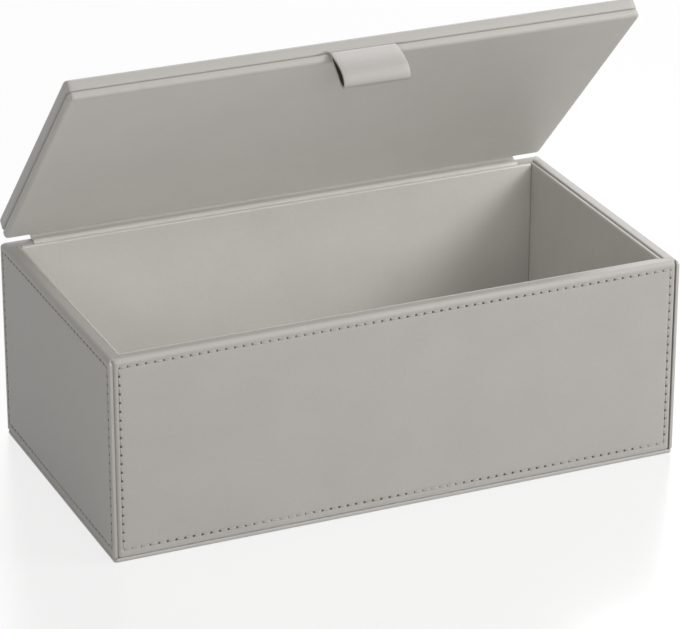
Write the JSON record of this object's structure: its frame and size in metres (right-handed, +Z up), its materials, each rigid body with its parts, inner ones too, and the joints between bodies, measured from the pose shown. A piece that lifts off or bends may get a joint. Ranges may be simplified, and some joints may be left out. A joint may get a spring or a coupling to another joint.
{
  "type": "stationery box",
  "caption": "Rectangular leather covered box with stitched side panels, a lined interior and a lid on a flexible leather hinge strip, opened by a folded pull tab.",
  "frame": {"origin": "centre of the underside of the base, on the surface the box stands on", "axes": "+X along the width to the right of someone facing the front, +Y from the front panel to the hinge, +Z up"},
  "size_m": [0.2704, 0.145, 0.2026],
  "materials": {
    "leather": "smooth satin",
    "lining": "smooth satin",
    "board": "bare board, hidden under the leather",
    "thread": "waxed thread"
  },
  "bodies": {
    "box": {"base_plate": "board", "base_skin": "leather", "floor_board": "board", "floor_lining": "lining", "front_board": "board", "front_skin": "leather", "front_lining": "lining", "front_stitches": "thread", "back_board": "board", "back_skin": "leather", "back_lining": "lining", "back_stitches": "thread", "left_board": "board", "left_skin": "leather", "left_lining": "lining", "left_stitches": "thread", "right_board": "board", "right_skin": "leather", "right_lining": "lining", "right_stitches": "thread", "hinge_wall_end": "lining", "hinge_strip": "lining"},
    "lid": {"lid_board": "board", "lid_skin": "leather", "lid_stitches": "thread", "lid_inner_board": "board", "lid_lining": "lining", "pull_tab": "leather", "hinge_lid_end": "lining"}
  },
  "joints": [
    {"name": "lid_hinge", "type": "hinge", "parent": "box", "child": "lid", "pos_m": [0, 0.0695, 0.0958], "axis": [-1, 0, 0], "range_deg": [-46, 54], "deforming": ["hinge_strip"]}
  ]
}
